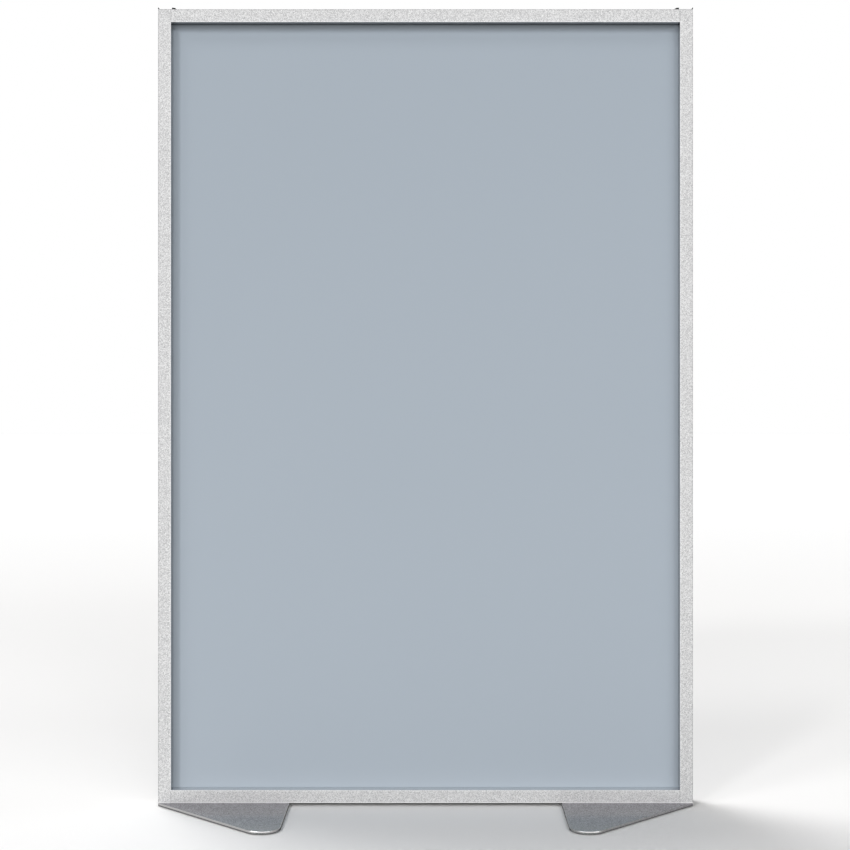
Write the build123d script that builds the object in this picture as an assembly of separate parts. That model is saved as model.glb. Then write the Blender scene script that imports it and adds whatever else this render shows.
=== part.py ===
"""Portable partition: one opaque panel in an aluminium frame that stands on two plate feet.

All lengths are in millimetres. +Z is up and the front faces -Y. The origin is on the floor, in
the panel's mid-plane, halfway between the feet. The back mirrors the front.

The posts and rails are cut from one section. It is drawn with u running inward from the frame's
outer side and v across the frame's thickness, and it is pushed along each side of the frame.
"""

from build123d import *
import os
from math import radians, tan

# Frame
frame_width = 918.0
frame_height = 1362.4
frame_thickness = 50.8

# Section of the posts and rails
face_width = 22.2
section_wall = 1.5
section_edge_radius = 0.5
slot_mouth_half = 4.5
slot_half = 7.0
slot_depth = 4.0

# Panel and its gasket
panel_thickness = 6.35
gasket_wall = 1.7
gasket_base = 1.2
panel_edge_gap = 0.5

# Cover strips that close the outer slots
strip_gap = 0.1
strip_wall = 1.1
strip_catch = 0.8
strip_leg_reach = 0.9
strip_end_gap = 0.2

# Corner joints
key_length = 38.0
key_gap = 0.1
key_tongue_gap = 0.3
key_thread_wall = 1.25
corner_screw_diameter = 4.0
corner_screw_reach = 18.0
corner_head_diameter = 8.0
corner_head_height = 2.6
corner_socket_width = 2.5
key_screw_inset = 27.0
key_screw_diameter = 3.0
key_screw_tip_gap = 2.2
key_head_diameter = 5.6
key_head_height = 1.6
key_socket_width = 2.0
screw_clearance = 0.2
thread_gap = 0.05

# Caps on the post tops
cap_lip_thickness = 1.0
cap_lip_height = 2.6
cap_web_height = 1.5
cap_web_inset = 7.0
cap_lug_offset = 1.8
cap_lug_length = 7.6
cap_lug_height = 2.6
cap_lug_fall = 0.5
cap_lug_bevel_length = 3.0
cap_lug_tip_height = 0.4
cap_leg_length = 18.0
cap_leg_wall = 1.6
cap_leg_gap = 0.2

# Feet
foot_width = 225.5
foot_thickness = 4.76
foot_flare_angle = 45.0
foot_tip_radius = 30.2
foot_top_rounding = 1.6
foot_bottom_rounding = 0.8

# Pads under the feet
pad_thickness = 0.8
pad_radius = 12.5
pad_outer_inset = 36.0

# Foot bolts, and what they screw into
foot_bolt_diameter = 6.0
foot_bolt_head_diameter = 12.0
foot_bolt_recess = 0.3
foot_bolt_socket_width = 4.0
foot_bolt_socket_depth = 2.0
foot_bolt_sink_gap = 0.1
rail_bolt_inner_inset = 40.0
rail_bolt_outer_inset = 46.0
nut_plate_margin = 14.0
nut_plate_gap = 0.3
block_height = 28.0
block_gap = 0.1
block_bolt_bite = 18.0

# Cuts run this far past the faces that they open
overrun = 1.0

# Places worked out from the sizes above
z_frame_bottom = pad_thickness + foot_thickness
z_frame_top = z_frame_bottom + frame_height
z_frame_middle = (z_frame_bottom + z_frame_top) / 2
x_outer = -frame_width / 2
x_inner = x_outer + face_width
half_thickness = frame_thickness / 2
rail_length = frame_width - 2 * face_width
opening_height = frame_height - 2 * face_width

slot_floor = section_wall + slot_depth
chamber_low = slot_floor + section_wall
chamber_height = corner_screw_diameter + 2 * (key_gap + key_thread_wall)
chamber_high = chamber_low + chamber_height
groove_floor = chamber_high + section_wall
groove_depth = face_width - groove_floor
groove_half = panel_thickness / 2 + gasket_wall
side_chamber_low = groove_half + section_wall
side_chamber_high = half_thickness - section_wall
slot_box_half = slot_half + section_wall
key_screw_bite = chamber_height - key_screw_tip_gap

panel_overlap = groove_depth - gasket_base - panel_edge_gap
x_foot_inner = x_outer + foot_width
z_key = z_frame_bottom + (chamber_low + chamber_high) / 2

left_side = Plane((x_outer, 0, z_frame_bottom), x_dir=(1, 0, 0), z_dir=(0, 0, 1))
right_side = Plane((-x_outer, 0, z_frame_bottom), x_dir=(-1, 0, 0), z_dir=(0, 0, 1))
bottom_side = Plane((x_inner, 0, z_frame_bottom), x_dir=(0, 0, 1), z_dir=(1, 0, 0))
top_side = Plane((x_inner, 0, z_frame_top), x_dir=(0, 0, -1), z_dir=(1, 0, 0))
middle_level = Plane.XY.offset(z_frame_middle)


def block(x, y, z):
    """A box between the two values given for each axis."""
    spans = (x, y, z)
    centre = [(low + high) / 2 for low, high in spans]
    size = [high - low for low, high in spans]
    return Pos(*centre) * Box(*size)


def area(u, v):
    """A rectangle in the section's plane, between the two values given for each axis."""
    centre = [(low + high) / 2 for low, high in (u, v)]
    size = [high - low for low, high in (u, v)]
    return Pos(*centre) * Rectangle(*size)


def rod(diameter, start, direction, length):
    """A cylinder that starts at a point and runs along a direction."""
    return extrude(Plane(start, z_dir=direction) * Circle(diameter / 2), length)


def hexagon(width, start, direction, depth):
    """A hexagonal socket, measured across its flats."""
    shape = RegularPolygon(width / 2, 6, major_radius=False)
    return extrude(Plane(start, z_dir=direction) * shape, depth)


def across(part):
    """The same piece on the other side of the frame."""
    return mirror(part, about=Plane.YZ)


def group(pieces):
    """Separate solids that share one node."""
    return Compound([solid for piece in pieces for solid in piece.solids()])


def four_corners(part):
    """A piece of the bottom left corner, repeated at all four corners."""
    top = mirror(part, about=middle_level)
    return {
        "bottom_left": part,
        "bottom_right": across(part),
        "top_left": top,
        "top_right": across(top),
    }


def frame_section():
    """Outer slot, screw chamber and panel groove in line, with a hollow on each side of them."""
    outline = RectangleRounded(face_width, frame_thickness, section_edge_radius)
    shape = Pos(face_width / 2, 0) * outline
    shape -= area((-overrun, section_wall), (-slot_mouth_half, slot_mouth_half))
    shape -= area((section_wall, slot_floor), (-slot_half, slot_half))
    shape -= area((chamber_low, chamber_high), (-groove_half, groove_half))
    shape -= area((groove_floor, face_width + overrun), (-groove_half, groove_half))
    slot_box = area((0, chamber_low), (-slot_box_half, slot_box_half))
    for v in ((side_chamber_low, side_chamber_high), (-side_chamber_high, -side_chamber_low)):
        shape -= area((section_wall, face_width - section_wall), v) - slot_box
    return shape


def frame_length(side, length):
    """A length of the section along one side of the frame."""
    return side.location * extrude(frame_section(), length)


def corner_screw_holes():
    """Clearance holes through the post for each corner screw."""
    start = (x_outer + slot_floor - overrun, 0, z_key)
    length = groove_depth + groove_floor - slot_floor
    hole = rod(corner_screw_diameter + 2 * screw_clearance, start, (1, 0, 0), length)
    return list(four_corners(hole).values())


def key_screw_holes():
    """Clearance holes through the floor of a rail's slot for the screws that hold the keys."""
    start = (x_inner + key_screw_inset, 0, z_frame_bottom + slot_floor - overrun)
    hole = rod(key_screw_diameter + 2 * screw_clearance, start, (0, 0, 1), section_wall + 2 * overrun)
    return list(four_corners(hole).values())


def post(side):
    return frame_length(side, frame_height) - corner_screw_holes()


def rail(side):
    return frame_length(side, rail_length) - key_screw_holes()


def infill_panel():
    half_width = rail_length / 2 + panel_overlap
    half_height = opening_height / 2 + panel_overlap
    return block(
        (-half_width, half_width),
        (-panel_thickness / 2, panel_thickness / 2),
        (z_frame_middle - half_height, z_frame_middle + half_height),
    )


def gasket_section():
    """A channel that lines the panel groove and holds the panel's edge."""
    channel = area((groove_floor, face_width), (-groove_half, groove_half))
    hollow_start = groove_floor + gasket_base
    panel_half = panel_thickness / 2
    return channel - area((hollow_start, face_width + overrun), (-panel_half, panel_half))


def post_gasket(side):
    """It runs on past the opening, round the panel's corners."""
    start = face_width - groove_depth
    length = opening_height + 2 * groove_depth
    return side.location * Pos(0, 0, start) * extrude(gasket_section(), length)


def rail_gasket(side):
    return side.location * extrude(gasket_section(), rail_length)


def strip_section():
    """A cover with two legs whose catches hook behind the lips of the slot."""
    half = slot_mouth_half - strip_gap
    catch_top = section_wall + strip_gap
    leg_end = catch_top + strip_leg_reach
    shape = area((strip_gap, leg_end), (-half, half))
    shape += area((catch_top, leg_end), (-half - strip_catch, half + strip_catch))
    hollow_half = half - strip_wall
    shape -= area((strip_gap + strip_wall, leg_end + overrun), (-hollow_half, hollow_half))
    return shape


def cover_strip(side, length):
    strip = extrude(strip_section(), length - 2 * strip_end_gap)
    return side.location * Pos(0, 0, strip_end_gap) * strip


def corner_key():
    """A tapped bar in the rail's end, with a tongue that reaches into the post's groove."""
    half = groove_half - key_gap
    bar = block(
        (x_inner - groove_depth + key_tongue_gap, x_inner + key_length),
        (-half, half),
        (z_frame_bottom + chamber_low + key_gap, z_frame_bottom + chamber_high - key_gap),
    )
    long_start = (x_inner - groove_depth, 0, z_key)
    long_hole = rod(
        corner_screw_diameter + 2 * thread_gap,
        long_start,
        (1, 0, 0),
        groove_depth + corner_screw_reach + overrun,
    )
    short_start = (x_inner + key_screw_inset, 0, z_frame_bottom + chamber_low - overrun)
    short_hole = rod(
        key_screw_diameter + 2 * thread_gap,
        short_start,
        (0, 0, 1),
        chamber_height + 2 * overrun,
    )
    return bar - long_hole - short_hole


def headed_screw(seat, direction, shank, head, socket_width):
    """A screw with its head's underside at the seat; shank and head are (diameter, length)."""
    back = Vector(*direction) * -1
    top = Vector(*seat) + back * head[1]
    screw = rod(shank[0], seat, direction, shank[1]) + rod(head[0], seat, back, head[1])
    return screw - hexagon(socket_width, top, direction, head[1] / 2)


def corner_screws():
    """The long screw through the post into the key, and the short one that holds the key."""
    long_screw = headed_screw(
        (x_outer + slot_floor, 0, z_key),
        (1, 0, 0),
        (corner_screw_diameter, face_width - slot_floor + corner_screw_reach),
        (corner_head_diameter, corner_head_height),
        corner_socket_width,
    )
    short_screw = headed_screw(
        (x_inner + key_screw_inset, 0, z_frame_bottom + slot_floor),
        (0, 0, 1),
        (key_screw_diameter, section_wall + key_screw_bite),
        (key_head_diameter, key_head_height),
        key_socket_width,
    )
    return group([long_screw, short_screw])


def cap_leg():
    """A hollow leg that plugs the post's front hollow from above."""
    x = (x_outer + section_wall + cap_leg_gap, x_inner - section_wall - cap_leg_gap)
    y = (-side_chamber_high + cap_leg_gap, -slot_box_half - cap_leg_gap)
    leg = block(x, y, (z_frame_top - cap_leg_length, z_frame_top))
    bore_x = (x[0] + cap_leg_wall, x[1] - cap_leg_wall)
    bore_y = (y[0] + cap_leg_wall, y[1] - cap_leg_wall)
    bore_z = (z_frame_top - cap_leg_length - overrun, z_frame_top - cap_leg_wall)
    return leg - block(bore_x, bore_y, bore_z)


def cap_lug():
    """A low wedge that crosses the end of the top rail beside the post."""
    start = x_inner + cap_lug_offset
    end = start + cap_lug_length
    outline = Polyline(
        (start, z_frame_top),
        (start, z_frame_top + cap_lug_height),
        (end - cap_lug_bevel_length, z_frame_top + cap_lug_height - cap_lug_fall),
        (end, z_frame_top + cap_lug_tip_height),
        (end, z_frame_top),
        close=True,
    )
    face = Plane.XZ * make_face(outline)
    return extrude(face, half_thickness, both=True)


def post_cap():
    """A cap with a thin outer lip, a web set back from both faces, and two legs."""
    lip = block(
        (x_outer, x_outer + cap_lip_thickness),
        (-half_thickness, half_thickness),
        (z_frame_top, z_frame_top + cap_lip_height),
    )
    web_half = half_thickness - cap_web_inset
    web = block(
        (x_outer + cap_lip_thickness, x_inner + cap_lug_offset),
        (-web_half, web_half),
        (z_frame_top, z_frame_top + cap_web_height),
    )
    front_leg = cap_leg()
    return lip + web + cap_lug() + front_leg + mirror(front_leg, about=Plane.XZ)


def foot_outline():
    """From the frame's outer corners the edges flare inward to two rounded tips."""
    reach = half_thickness + foot_width * tan(radians(foot_flare_angle))
    outline = Polyline(
        (x_outer, -half_thickness),
        (x_foot_inner, -reach),
        (x_foot_inner, reach),
        (x_outer, half_thickness),
        close=True,
    )
    face = make_face(outline)
    return fillet(face.vertices().group_by(Axis.X)[-1], foot_tip_radius)


def tip_centre():
    """The centre of the front tip's rounding."""
    half_angle = radians((90 - foot_flare_angle) / 2)
    reach = half_thickness + foot_width * tan(radians(foot_flare_angle))
    return x_foot_inner - foot_tip_radius, -reach + foot_tip_radius / tan(half_angle)


def rail_bolt_places():
    return [
        (x_foot_inner - rail_bolt_inner_inset, 0),
        (x_inner + rail_bolt_outer_inset, 0),
    ]


def block_bolt_places():
    x = (x_outer + x_inner) / 2
    y = (slot_box_half + side_chamber_high) / 2
    return [(x, -y), (x, y)]


def foot_bolt(place, top):
    """A countersunk bolt from below, up to the height given."""
    x, y = place
    low = pad_thickness + foot_bolt_recess
    head_height = (foot_bolt_head_diameter - foot_bolt_diameter) / 2
    cone = Cone(
        foot_bolt_head_diameter / 2,
        foot_bolt_diameter / 2,
        head_height,
        align=(Align.CENTER, Align.CENTER, Align.MIN),
    )
    shank = rod(foot_bolt_diameter, (x, y, low), (0, 0, 1), top - low)
    socket = hexagon(foot_bolt_socket_width, (x, y, low), (0, 0, 1), foot_bolt_socket_depth)
    return Pos(x, y, low) * cone + shank - socket


def foot_bolt_hole(place):
    """A countersunk clearance hole through the foot plate."""
    x, y = place
    low = pad_thickness + foot_bolt_recess
    wide = foot_bolt_head_diameter / 2 + foot_bolt_sink_gap
    narrow = foot_bolt_diameter / 2 + foot_bolt_sink_gap
    sink = Cone(wide, narrow, wide - narrow, align=(Align.CENTER, Align.CENTER, Align.MIN))
    mouth = rod(2 * wide, (x, y, low), (0, 0, -1), foot_bolt_recess + overrun)
    shaft = rod(2 * narrow, (x, y, low), (0, 0, 1), foot_thickness + overrun)
    return Pos(x, y, low) * sink + mouth + shaft


def foot_plate():
    plate = Pos(0, 0, pad_thickness) * extrude(foot_outline(), foot_thickness)
    plate = fillet(plate.faces().sort_by(Axis.Z)[-1].edges(), foot_top_rounding)
    plate = fillet(plate.faces().sort_by(Axis.Z)[0].edges(), foot_bottom_rounding)
    for place in rail_bolt_places() + block_bolt_places():
        plate -= foot_bolt_hole(place)
    return plate


def foot_bolts():
    nut_top = z_frame_bottom + section_wall + slot_depth - nut_plate_gap
    bolts = [foot_bolt(place, nut_top) for place in rail_bolt_places()]
    bolts += [foot_bolt(place, z_frame_bottom + block_bolt_bite) for place in block_bolt_places()]
    return group(bolts)


def foot_pads():
    """Thin discs under the two tips and under the outer end of the foot."""
    x, y = tip_centre()
    places = [(x, y), (x, -y), (x_outer + pad_outer_inset, 0)]
    return group([rod(2 * pad_radius, (x, y, 0), (0, 0, 1), pad_thickness) for x, y in places])


def nut_plate():
    """A tapped bar in the bottom rail's slot, drawn down on the slot's lips by two bolts."""
    places = sorted(rail_bolt_places())
    half = slot_half - nut_plate_gap
    low = z_frame_bottom + section_wall
    plate = block(
        (places[0][0] - nut_plate_margin, places[-1][0] + nut_plate_margin),
        (-half, half),
        (low, low + slot_depth - nut_plate_gap),
    )
    for x, y in places:
        start = (x, y, low - overrun)
        plate -= rod(foot_bolt_diameter + 2 * thread_gap, start, (0, 0, 1), slot_depth + 2 * overrun)
    return plate


def foot_blocks():
    """Tapped blocks pressed up into the two hollows at the post's lower end."""
    x = (x_outer + section_wall + block_gap, x_inner - section_wall - block_gap)
    y = (slot_box_half + block_gap, side_chamber_high - block_gap)
    z = (z_frame_bottom, z_frame_bottom + block_height)
    blocks = []
    for bolt_x, bolt_y in block_bolt_places():
        span = y if bolt_y > 0 else (-y[1], -y[0])
        start = (bolt_x, bolt_y, z_frame_bottom - overrun)
        hole = rod(foot_bolt_diameter + 2 * thread_gap, start, (0, 0, 1), block_height + 2 * overrun)
        blocks.append(block(x, span, z) - hole)
    return group(blocks)


def all_pieces():
    """Every piece by its node's name."""
    pieces = {
        "left_post": post(left_side),
        "right_post": post(right_side),
        "top_rail": rail(top_side),
        "bottom_rail": rail(bottom_side),
        "infill_panel": infill_panel(),
        "gasket_left": post_gasket(left_side),
        "gasket_right": post_gasket(right_side),
        "gasket_top": rail_gasket(top_side),
        "gasket_bottom": rail_gasket(bottom_side),
        "left_cover_strip": cover_strip(left_side, frame_height),
        "right_cover_strip": cover_strip(right_side, frame_height),
        "top_cover_strip": cover_strip(top_side, rail_length),
    }
    for place, piece in four_corners(corner_key()).items():
        pieces["corner_key_" + place] = piece
    for place, piece in four_corners(corner_screws()).items():
        pieces["corner_screws_" + place] = piece
    left_pieces = {
        "post_cap": post_cap(),
        "foot_plate": foot_plate(),
        "foot_blocks": foot_blocks(),
        "foot_bolts": foot_bolts(),
        "foot_pads": foot_pads(),
        "nut_plate": nut_plate(),
    }
    for name, piece in left_pieces.items():
        pieces["left_" + name] = piece
        pieces["right_" + name] = across(piece)
    return pieces


os.makedirs("parts", exist_ok=True)
for name, piece in all_pieces().items():
    export_step(piece, f"parts/{name}.step")
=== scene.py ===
"""The looks of the portable partition: metres, +Z up, the front faces -Y."""

import math

import bmesh
import bpy
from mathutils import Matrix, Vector


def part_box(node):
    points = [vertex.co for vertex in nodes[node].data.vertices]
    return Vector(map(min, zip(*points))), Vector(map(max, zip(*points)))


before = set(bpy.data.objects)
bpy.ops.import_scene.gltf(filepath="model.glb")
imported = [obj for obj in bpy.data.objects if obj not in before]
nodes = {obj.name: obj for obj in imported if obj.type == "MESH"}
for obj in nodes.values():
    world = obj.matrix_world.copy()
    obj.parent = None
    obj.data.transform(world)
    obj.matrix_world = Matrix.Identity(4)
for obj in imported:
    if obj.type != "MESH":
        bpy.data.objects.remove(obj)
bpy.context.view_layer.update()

MM = 0.001


def linear(red, green, blue):
    """A colour in scene values from one in display values, 0 to 255."""
    def one(v):
        v = v / 255
        return v / 12.92 if v <= 0.04045 else ((v + 0.055) / 1.055) ** 2.4
    return one(red), one(green), one(blue)


# The view: places are pixels in a frame 850 wide and high
IMAGE_SIZE = 850
VANISHING_POINT = (434.3, 410.6)
FOCAL_LENGTH_PX = 1556.0
SENSOR_WIDTH = 36.0
CAMERA_DISTANCE = 2.670
CAMERA_HEIGHT = 0.679
CAMERA_OFFSET = 0.0151

# The studio: the floor shows one tone near the object and a paler one far away,
# and throws less light up than it shows
FLOOR_HALF = 40.0
FLOOR_DROP = 0.0001
FLOOR_SEEN = (0.836, 0.831, 0.827)
FLOOR_FAR = (0.88, 0.88, 0.88)
FLOOR_FAR_START = 3.0
FLOOR_FAR_FULL = 8.0
FLOOR_BOUNCE = (0.3, 0.3, 0.3)
FLOOR_ROUGHNESS = 0.9
WORLD_COLOUR = (1.0, 1.0, 1.0)
WORLD_LIGHT = 0.1

# The far lights: azimuth from the front towards +X and elevation in degrees, strength,
# spread in degrees, and whether smooth surfaces mirror the light
SUNS = {
    "front_left_low": (-19, 10, 0.2, 24, False),
    "front_left_high": (-50, 45, 0.15, 16, False),
    "front_key": (-29.5, 27.1, 0.2, 8, False),
    "front_right_near": (17, 20, 0.2, 16, False),
    "front_right_wide": (33, 20, 0.12, 16, False),
    "front_right_high": (50, 45, 0.06, 16, False),
    "back_left_high": (-135, 66, 0.5, 24, True),
    "back_left_low": (-135, 42, 0.08, 24, False),
    "back": (-168, 66, 0.14, 24, True),
    "back_right": (150, 50, 0.05, 24, False),
}

# How squarely a surface faces an axis: the pairs run from not at all to fully
FACES = (0.6, 0.95)
FACES_UP = (0.5, 0.9)
FACES_DOWN = (-0.5, -0.9)
FLAT_TOP = (0.9, 0.98)
ROUNDED_TOP = (0.1, 0.3)
FACES_SLANTING = (0.2, 0.5)
FACES_SIDEWAYS = (0.8, 0.95)
FACES_SQUARE = (0.9, 0.98)

# Satin aluminium: its two colours, and how far between them each surface lies. The opening's
# lower level is painted shade in the recess, the ledge's lift painted light, and the crown's
# drop painted shade on the tops
SATIN_DARK = linear(171, 171, 172)
SATIN_LIGHT = linear(255, 255, 255)
SATIN_GRAIN = 1.05 * MM
SATIN_FLAKE = 0.5 * MM
SATIN_CLOUD = 60 * MM
SATIN_RELIEF = 0.01 * MM
SATIN_RELIEF_STRENGTH = 0.3
OPENING_SHADE_LEVEL = 0.18
FACE_LIFT = 0.342
LEDGE_PAINTED_LIGHT = 0.31
CROWN_PAINTED_SHADE = 0.3
GRAIN_SHARE = 0.74
OPENING_SPREAD = 0.35
CLOUD_SPREAD = 0.08
# Painted light on the underside of the top rail near its face
UNDER_PAINTED_LIGHT = 0.35
FACE_METALLIC_DROP = 0.7
CROWN_METALLIC_DROP = 0.3
OPENING_ROUGHNESS = 0.13
FACE_ROUGHER = 0.27
CROWN_ROUGHER = 0.2
FLAKE_ROUGHER = 0.1

# Painted shade under the top rail, darkening from the face towards the panel: distances from the
# mid-plane
UNDER_PAINTED_SHADE = linear(106, 107, 110)
UNDER_START = 19 * MM
UNDER_FULL = 13 * MM

# Painted highlights along the opening and the lower edge, painted shade along the outer edge,
# and dark lines at the joints
EDGE_LINE = 1.2 * MM
SEAM_LINE = 0.5 * MM
LINE_FADE = 1.6
INNER_HIGHLIGHT = 0.3
LOWER_HIGHLIGHT = 0.6
OUTER_SHADE = 0.3
SEAM_DROP = 0.35

# The panel: its tone drifts at random, it is painted lighter towards the bottom as painted
# light, and painted lighter just below the top rail as painted light in the rail's shade
PANEL_DARK = linear(172, 182, 192)
PANEL_LIGHT = linear(181, 191, 201)
PANEL_PAINTED_LIFT = linear(187, 197, 206)
PAINTED_LIFT_START = 9 * MM
PAINTED_LIFT_FULL = 5 * MM
PANEL_PAINTED_GRADIENT_HEIGHT = 1.35
PANEL_PAINTED_GRADIENT_SHARE = 0.8
PANEL_CLOUD = 400 * MM
PANEL_CLOUD_DETAIL = 1.0
PANEL_PEEL = 2.5 * MM
PANEL_REFLECTANCE = 0.3
PANEL_ROUGHNESS = 0.5
PEEL_ROUGHER = 0.06
PEEL_RELIEF = 0.01 * MM
PEEL_RELIEF_STRENGTH = 0.3

# The lacquer of the feet: near the panel it is painted darker, more violet and grainier, a
# painted reflection of the rail; away from the panel it is slightly lighter and less grainy
LACQUER_DARK = linear(85, 83, 90)
LACQUER_LIGHT = linear(158, 156, 163)
LACQUER_DARK_AWAY = linear(92, 94, 94)
LACQUER_LIGHT_AWAY = linear(169, 171, 170)
LACQUER_GRAIN = 1.4 * MM
LACQUER_LEVEL = 0.39
LACQUER_LIFT_AWAY = 0.08
LACQUER_SPREAD = 1.25
LACQUER_SPREAD_DROP = 0.65
AWAY_START = 0.03
AWAY_FULL = 0.2
LACQUER_REFLECTANCE = 0.35
LACQUER_ROUGHNESS = 0.15
LACQUER_RELIEF = 0.003 * MM
LACQUER_RELIEF_STRENGTH = 0.15

# The edges of the feet: painted light on the slanting edges above a height, more on the left
# foot, painted shade below it and on the square sides, and bright metal beyond a distance
# from the panel as a painted highlight
EDGE_LIGHT_COLOUR = linear(182, 181, 180)
EDGE_SHADE_COLOUR = linear(112, 112, 113)
SIDE_SHADE_COLOUR = linear(30, 31, 32)
HIGHLIGHT_METAL_COLOUR = linear(250, 250, 250)
EDGE_LIGHT_START = 2 * MM
EDGE_LIGHT_FULL = 2.8 * MM
EDGE_LIGHT_RIGHT = 0.3
EDGE_LIGHT_MORE_LEFT = 0.7
HIGHLIGHT_START = 0.2
HIGHLIGHT_FULL = 0.2045
SIDE_ROUGHER = 0.7
HIGHLIGHT_ROUGHER = 0.15

# The gasket: painted paler up to a height, as painted light on the lowest gasket
RUBBER_DARK = linear(102, 106, 111)
RUBBER_LIGHT = linear(113, 117, 122)
LOW_PAINTED_LIGHT_COLOUR = linear(168, 176, 183)
LOW_PAINTED_LIGHT_FULL = 32 * MM
LOW_PAINTED_LIGHT_END = 36 * MM
RUBBER_GRAIN = 0.6 * MM
RUBBER_ROUGHNESS = 0.72
RUBBER_ROUGHER = 0.16
RUBBER_RELIEF = 0.02 * MM
RUBBER_RELIEF_STRENGTH = 0.5

# The plain finishes: colour, grain size, grain height, roughness, metallic, reflectance,
# and the words that the names of their pieces hold
PLAIN_FINISHES = {
    "strip_vinyl": (
        linear(205, 205, 206), 0.8 * MM, 0.02 * MM, 0.5, 0.0, 0.5, ("strip",)),
    "cap_plastic": (
        linear(5, 5, 6), 0.5 * MM, 0.03 * MM, 0.8, 0.0, 0.1, ("post_cap",)),
    "pad_rubber": (
        linear(34, 34, 35), 0.5 * MM, 0.03 * MM, 0.85, 0.0, 0.5, ("foot_pads",)),
    "zinc_steel": (
        linear(196, 197, 200), 0.7 * MM, 0.01 * MM, 0.35, 1.0, 0.5,
        ("screws", "bolts", "nut_plate")),
    "key_aluminium": (
        linear(186, 187, 190), 0.9 * MM, 0.03 * MM, 0.5, 1.0, 0.5,
        ("corner_key", "foot_blocks")),
}
PLAIN_LIGHTER = 1.25
PLAIN_LIGHTER_BY = 0.004
PLAIN_ROUGHNESS_SPREAD = 0.08
PLAIN_RELIEF_STRENGTH = 0.5
FINE_DETAIL = 3.0


class Value:
    """A shader socket. Arithmetic on it adds Math nodes."""

    def __init__(self, shader, socket):
        self.shader = shader
        self.socket = socket

    def math(self, operation, *others, clamp=False):
        return self.shader.math(operation, self, *others, clamp=clamp)

    def __add__(self, other):
        return self.math("ADD", other)

    __radd__ = __add__

    def __sub__(self, other):
        return self.math("SUBTRACT", other)

    def __rsub__(self, other):
        return self.shader.math("SUBTRACT", other, self)

    def __mul__(self, other):
        return self.math("MULTIPLY", other)

    __rmul__ = __mul__

    def __truediv__(self, other):
        return self.math("DIVIDE", other)

    def __pow__(self, other):
        return self.math("POWER", other)

    def __abs__(self):
        return self.math("ABSOLUTE")

    def clamped(self):
        return self.math("ADD", 0.0, clamp=True)

    def ramp(self, start, end):
        """0 up to start, 1 from end on."""
        return ((self - start) / (end - start)).clamped()


class Shader:
    """A node tree, with one way of adding nodes to it."""

    def __init__(self, tree):
        self.tree = tree

    def feed(self, socket, value):
        if isinstance(value, Value):
            self.tree.links.new(value.socket, socket)
        elif isinstance(value, tuple) and socket.type == "RGBA":
            socket.default_value = (*value, 1.0)
        else:
            socket.default_value = value

    def node(self, kind, settings=None, inputs=None, output=0):
        """Adds one node: its settings first, then the values or links of its sockets."""
        node = self.tree.nodes.new("ShaderNode" + kind)
        for name, value in (settings or {}).items():
            setattr(node, name, value)
        for name, value in (inputs or {}).items():
            self.feed(node.inputs[name], value)
        return Value(self, node.outputs[output])

    def math(self, operation, *values, clamp=False):
        settings = {"operation": operation, "use_clamp": clamp}
        return self.node("Math", settings, dict(enumerate(values)))

    def path(self, *rays):
        """1 for the kinds of ray that are named, such as Camera, and 0 for the rest."""
        total = 0.0
        for ray in rays:
            total = self.node("LightPath", output=f"Is {ray} Ray") + total
        return total.clamped()


class Finish(Shader):
    """A material: its Principled surface and what feeds it."""

    def __init__(self, name, **constants):
        self.material = bpy.data.materials.new(name)
        self.material.use_nodes = True
        super().__init__(self.material.node_tree)
        self.surface = self.tree.nodes["Principled BSDF"]
        self.set(**constants)

    def set(self, **inputs):
        """Feeds the surface's sockets: base_color is Base Color, and so on."""
        for name, value in inputs.items():
            self.feed(self.surface.inputs[socket_name(name)], value)

    def place(self):
        """Object coordinates in metres."""
        return self.node("TexCoord", output="Object")

    def part_of(self, vector, axis):
        """One of the three numbers of a place or a direction: X, Y or Z."""
        return self.node("SeparateXYZ", None, {"Vector": vector}, axis)

    def facing(self, axis):
        """How far the surface faces along an axis, from -1 to 1."""
        return self.part_of(self.node("NewGeometry", output="Normal"), axis)

    def cells(self, where, size):
        """A random value from 0 to 1 in each small cell."""
        cell = self.node("TexVoronoi", None, {"Vector": where, "Scale": 1 / size}, "Color")
        return self.node("SeparateColor", None, {"Color": cell}, "Red")

    def noise(self, where, size, detail=2.0):
        """Soft clouds of this size, from 0 to 1."""
        inputs = {"Vector": where, "Scale": 1 / size, "Detail": detail}
        return self.node("TexNoise", None, inputs, "Fac")

    def blend(self, share, first, second):
        """A colour between two colours."""
        inputs = {0: share, 6: first, 7: second}
        return self.node("Mix", {"data_type": "RGBA"}, inputs, 2)

    def bump(self, height, distance, strength):
        inputs = {"Height": height, "Distance": distance, "Strength": strength}
        self.set(normal=self.node("Bump", None, inputs))


def socket_name(name):
    names = {"specular_ior_level": "Specular IOR Level"}
    return names.get(name, name.replace("_", " ").title())


def past_opening(finish, where):
    """How far a place lies outside the frame's opening, to the sides and to the ends."""
    opening_side = -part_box("left_post")[1].x
    opening_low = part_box("bottom_rail")[1].z
    opening_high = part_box("top_rail")[0].z
    middle = (opening_low + opening_high) / 2
    past_side = abs(finish.part_of(where, "X")) - opening_side
    past_end = abs(finish.part_of(where, "Z") - middle) - (opening_high - middle)
    return past_side, past_end


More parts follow.
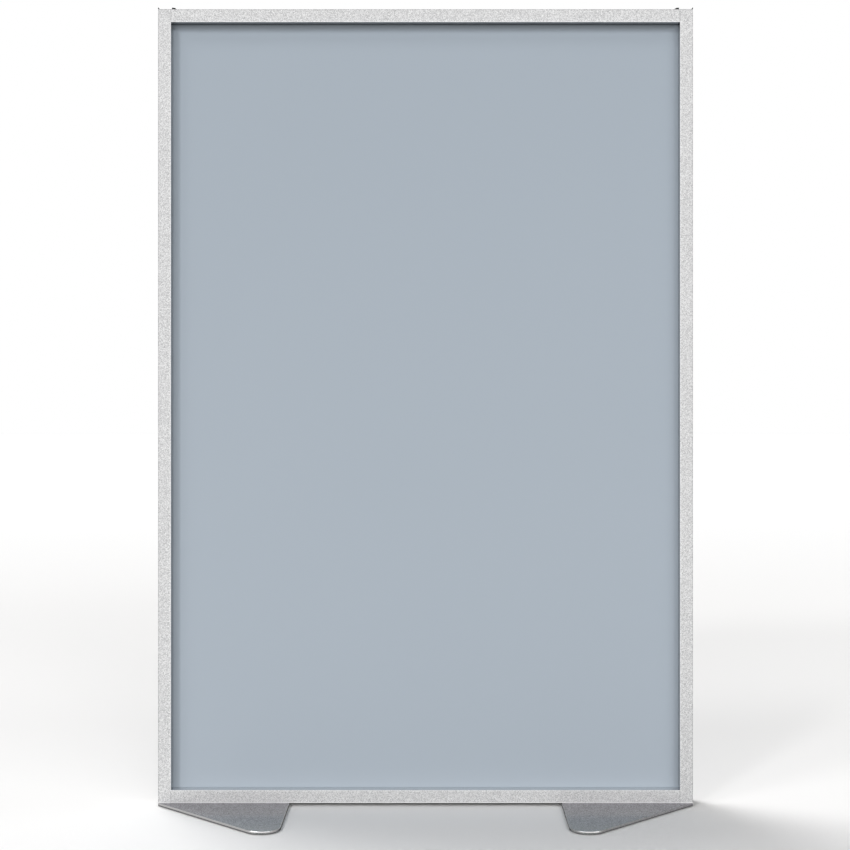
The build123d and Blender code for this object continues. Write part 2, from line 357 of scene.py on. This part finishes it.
def edge_highlights_and_seams(finish, where, past_side, past_end):
    """Painted highlights along the opening and the lower edge, painted shade along the outer
    edge, and dark lines at the joints.
    """
    low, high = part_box("left_post")
    across = abs(finish.part_of(where, "X"))
    up = finish.part_of(where, "Z")
    # inner and lower are painted highlights, outer is painted shade, seam is a dark joint line
    inner = 1 - past_side.math("MAXIMUM", past_end).ramp(EDGE_LINE, 2 * EDGE_LINE)
    lower = 1 - (up - low.z).ramp(EDGE_LINE, LINE_FADE * EDGE_LINE)
    outer = (across + low.x).math("MAXIMUM", up - high.z).ramp(-1.3 * EDGE_LINE, -EDGE_LINE)
    beside = 1 - abs(past_side).ramp(SEAM_LINE, LINE_FADE * SEAM_LINE)
    seam = beside * past_end.ramp(0.0, EDGE_LINE)
    return INNER_HIGHLIGHT * inner + LOWER_HIGHLIGHT * lower - OUTER_SHADE * outer - SEAM_DROP * seam


def satin_aluminium():
    """Anodised aluminium: blasted faces with a fine sparkle, a smoother drawn opening painted
    darker as shade, painted light on the ledge, painted shade on the tops and under the top
    rail, and painted highlights along the edges.
    """
    finish = Finish("satin_aluminium")
    where = finish.place()
    sparkle = finish.cells(where, SATIN_GRAIN)
    flake = finish.cells(where, SATIN_FLAKE)
    cloud = finish.noise(where, SATIN_CLOUD)
    past_side, past_end = past_opening(finish, where)
    outside = past_side.math("MAXIMUM", past_end).ramp(EDGE_LINE, 1.1 * EDGE_LINE)
    front = abs(finish.facing("Y")).ramp(*FACES)
    face = front.math("MAXIMUM", outside)
    upward = finish.facing("Z").ramp(*FACES_UP)
    ledge = upward * (1 - outside)
    crown = upward * outside
    speckle = GRAIN_SHARE * sparkle + (1 - GRAIN_SHARE) * flake - 0.5
    spread = speckle * (OPENING_SPREAD + (1 - OPENING_SPREAD) * face)
    # The opening's lower level is painted shade, the ledge's lift painted light, the crown's
    # drop painted shade
    level = OPENING_SHADE_LEVEL + FACE_LIFT * face + LEDGE_PAINTED_LIGHT * ledge - CROWN_PAINTED_SHADE * crown
    grain = level + spread + CLOUD_SPREAD * (cloud - 0.5)
    # Painted highlights and shade along the edges, with dark joint lines
    lines = edge_highlights_and_seams(finish, where, past_side, past_end) * front
    rougher = FACE_ROUGHER * face + CROWN_ROUGHER * crown + FLAKE_ROUGHER * flake
    # Painted shade under the top rail, deepening towards the panel, and painted light near its
    # face
    under = finish.facing("Z").ramp(*FACES_DOWN) * (1 - outside)
    under_shade_depth = abs(finish.part_of(where, "Y")).ramp(UNDER_START, UNDER_FULL)
    bright = grain + lines + UNDER_PAINTED_LIGHT * under * (1 - under_shade_depth)
    silver = finish.blend(bright, SATIN_DARK, SATIN_LIGHT)
    finish.set(
        base_color=finish.blend(under * under_shade_depth, silver, UNDER_PAINTED_SHADE),
        metallic=1 - FACE_METALLIC_DROP * face - CROWN_METALLIC_DROP * crown,
        roughness=OPENING_ROUGHNESS + rougher,
    )
    finish.bump(flake, SATIN_RELIEF, SATIN_RELIEF_STRENGTH)
    return finish.material


def panel_face():
    """A smooth matt sheet with a very slight random drift of tone, painted lighter towards the
    bottom and just below the top rail as painted light.
    """
    finish = Finish("panel_face", specular_ior_level=PANEL_REFLECTANCE)
    where = finish.place()
    cloud = finish.noise(where, PANEL_CLOUD, PANEL_CLOUD_DETAIL)
    peel = finish.noise(where, PANEL_PEEL)
    up = finish.part_of(where, "Z")
    # Painted light: the sheet is lighter towards the bottom
    height = up.ramp(0.0, PANEL_PAINTED_GRADIENT_HEIGHT)
    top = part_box("top_rail")[0].z
    # Painted light just below the top rail
    pale = up.ramp(top - PAINTED_LIFT_START, top - PAINTED_LIFT_FULL)
    tone = PANEL_PAINTED_GRADIENT_SHARE * (1 - height) + (1 - PANEL_PAINTED_GRADIENT_SHARE) * cloud
    sheet = finish.blend(tone, PANEL_DARK, PANEL_LIGHT)
    finish.set(
        base_color=finish.blend(pale, sheet, PANEL_PAINTED_LIFT),
        roughness=PANEL_ROUGHNESS + PEEL_ROUGHER * peel,
    )
    finish.bump(peel, PEEL_RELIEF, PEEL_RELIEF_STRENGTH)
    return finish.material


def foot_finish():
    """Grey sparkle lacquer on steel: painted shade on the square sides and below the slanting
    edges, painted light on them, a painted reflection of the rail near the panel, and tips of
    bright metal as a painted highlight.
    """
    finish = Finish("foot_finish", specular_ior_level=LACQUER_REFLECTANCE)
    where = finish.place()
    sparkle = finish.cells(where, LACQUER_GRAIN)
    up = finish.facing("Z")
    outward = abs(finish.part_of(where, "Y"))
    side = 1 - up.ramp(*FLAT_TOP)
    upper = finish.part_of(where, "Z").ramp(EDGE_LIGHT_START, EDGE_LIGHT_FULL)
    sideways = abs(finish.facing("X"))
    slanting = side * sideways.ramp(*FACES_SLANTING) * (1 - sideways.ramp(*FACES_SIDEWAYS))
    # Painted shade on the square sides
    side_shade = sideways.ramp(*FACES_SQUARE)
    # Bright metal on the tips' top rounding, a painted highlight
    painted_highlight = outward.ramp(HIGHLIGHT_START, HIGHLIGHT_FULL) * up.ramp(*ROUNDED_TOP) * side
    # Near the panel the lacquer is painted as a reflection of the rail: darker, more violet,
    # grainier
    away = outward.ramp(AWAY_START, AWAY_FULL)
    spread = LACQUER_SPREAD - LACQUER_SPREAD_DROP * away
    tone = LACQUER_LEVEL + spread * (sparkle - 0.5) + LACQUER_LIFT_AWAY * away
    dark = finish.blend(away, LACQUER_DARK, LACQUER_DARK_AWAY)
    light = finish.blend(away, LACQUER_LIGHT, LACQUER_LIGHT_AWAY)
    lacquer = finish.blend(tone, dark, light)
    # Painted light on the slanting edges, more on the left foot; painted shade below it
    left = 1 - finish.part_of(where, "X").ramp(-EDGE_LINE, EDGE_LINE)
    edge_light = slanting * upper * (EDGE_LIGHT_RIGHT + EDGE_LIGHT_MORE_LEFT * left)
    edge = finish.blend(edge_light, lacquer, EDGE_LIGHT_COLOUR)
    edge = finish.blend(slanting * (1 - upper), edge, EDGE_SHADE_COLOUR)
    edge = finish.blend(side_shade, edge, SIDE_SHADE_COLOUR)
    finish.set(
        base_color=finish.blend(painted_highlight, edge, HIGHLIGHT_METAL_COLOUR),
        metallic=painted_highlight,
        roughness=LACQUER_ROUGHNESS + SIDE_ROUGHER * side_shade + HIGHLIGHT_ROUGHER * painted_highlight,
    )
    finish.bump(sparkle * (1 - painted_highlight), LACQUER_RELIEF, LACQUER_RELIEF_STRENGTH)
    return finish.material


def gasket_rubber():
    """Matt grey rubber, painted paler along the lower edge of the panel as painted light."""
    finish = Finish("gasket_rubber")
    where = finish.place()
    grain = finish.noise(where, RUBBER_GRAIN, FINE_DETAIL)
    # Painted light: the lowest gasket is painted paler
    low_painted_light = 1 - finish.part_of(where, "Z").ramp(LOW_PAINTED_LIGHT_FULL, LOW_PAINTED_LIGHT_END)
    rubber = finish.blend(grain, RUBBER_DARK, RUBBER_LIGHT)
    finish.set(
        base_color=finish.blend(low_painted_light, rubber, LOW_PAINTED_LIGHT_COLOUR),
        roughness=RUBBER_ROUGHNESS + RUBBER_ROUGHER * grain,
    )
    finish.bump(grain, RUBBER_RELIEF, RUBBER_RELIEF_STRENGTH)
    return finish.material


def plain_grain(name, colour, size, relief, roughness, metallic, reflectance):
    """A moulded or plated surface: fine noise in its colour, gloss and height."""
    finish = Finish(name, metallic=metallic, specular_ior_level=reflectance)
    grain = finish.noise(finish.place(), size, FINE_DETAIL)
    lighter = tuple(min(1.0, v * PLAIN_LIGHTER + PLAIN_LIGHTER_BY) for v in colour)
    spread = PLAIN_ROUGHNESS_SPREAD
    finish.set(
        base_color=finish.blend(grain, colour, lighter),
        roughness=roughness - spread + 2 * spread * grain,
    )
    finish.bump(grain, relief, PLAIN_RELIEF_STRENGTH)
    return finish.material


def dress(material, *words):
    """Gives a finish to the pieces whose names hold one of the words."""
    for name, node in nodes.items():
        if any(word in name for word in words):
            node.data.materials.clear()
            node.data.materials.append(material)


def dress_all():
    """The caps come after the posts, because their names hold the posts' word too."""
    dress(satin_aluminium(), "_post", "_rail")
    dress(panel_face(), "infill_panel")
    dress(foot_finish(), "foot_plate")
    dress(gasket_rubber(), "gasket")
    for name, (*look, words) in PLAIN_FINISHES.items():
        dress(plain_grain(name, *look), *words)


def add_floor():
    """A pale floor that keeps the shadow, and meets the white far away."""
    mesh = bpy.data.meshes.new("floor")
    shape = bmesh.new()
    bmesh.ops.create_grid(shape, x_segments=1, y_segments=1, size=FLOOR_HALF)
    shape.to_mesh(mesh)
    shape.free()
    floor = bpy.data.objects.new("floor", mesh)
    bpy.context.scene.collection.objects.link(floor)
    floor.location.z = -FLOOR_DROP
    finish = Finish("floor_paint", roughness=FLOOR_ROUGHNESS, specular_ior_level=0.0)
    where = finish.place()
    away = (finish.part_of(where, "X") ** 2 + finish.part_of(where, "Y") ** 2) ** 0.5
    colour = finish.blend(away.ramp(FLOOR_FAR_START, FLOOR_FAR_FULL), FLOOR_SEEN, FLOOR_FAR)
    seen = finish.path("Camera", "Glossy")
    finish.set(base_color=finish.blend(seen, FLOOR_BOUNCE, colour))
    mesh.materials.append(finish.material)


def add_world():
    """White where it is seen or mirrored, and dimmer where it lights the object."""
    world = bpy.data.worlds.new("studio")
    bpy.context.scene.world = world
    world.use_nodes = True
    shader = Shader(world.node_tree)
    background = shader.tree.nodes["Background"]
    plain = shader.path("Camera", "Glossy", "Transmission")
    shader.feed(background.inputs["Color"], WORLD_COLOUR)
    shader.feed(background.inputs["Strength"], WORLD_LIGHT + (1 - WORLD_LIGHT) * plain)


def add_sun(name, azimuth, elevation, strength, spread, mirrored):
    """A far light. Azimuth is measured from the front towards +X, in degrees."""
    lamp = bpy.data.lights.new(name, "SUN")
    lamp.energy = strength * math.pi
    lamp.angle = math.radians(spread)
    light = bpy.data.objects.new(name, lamp)
    bpy.context.scene.collection.objects.link(light)
    a = math.radians(azimuth)
    e = math.radians(elevation)
    towards = Vector((math.sin(a) * math.cos(e), -math.cos(a) * math.cos(e), math.sin(e)))
    light.rotation_euler = towards.to_track_quat("Z", "Y").to_euler()
    light.visible_glossy = mirrored


def add_camera():
    """Level, at mid-height, a little right of the middle. The shift centres the object."""
    data = bpy.data.cameras.new("camera")
    data.sensor_width = SENSOR_WIDTH
    data.lens = FOCAL_LENGTH_PX * SENSOR_WIDTH / IMAGE_SIZE
    middle = IMAGE_SIZE / 2
    data.shift_x = (middle - VANISHING_POINT[0]) / IMAGE_SIZE
    data.shift_y = (VANISHING_POINT[1] - middle) / IMAGE_SIZE
    data.clip_end = 2 * FLOOR_HALF
    camera = bpy.data.objects.new("camera", data)
    bpy.context.scene.collection.objects.link(camera)
    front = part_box("left_post")[0].y
    camera.location = (CAMERA_OFFSET, front - CAMERA_DISTANCE, CAMERA_HEIGHT)
    camera.rotation_euler = (math.pi / 2, 0, 0)
    bpy.context.scene.camera = camera


dress_all()
add_floor()
add_world()
for sun_name, sun in SUNS.items():
    add_sun(sun_name, *sun)
add_camera()
bpy.context.scene.view_settings.view_transform = "Standard"
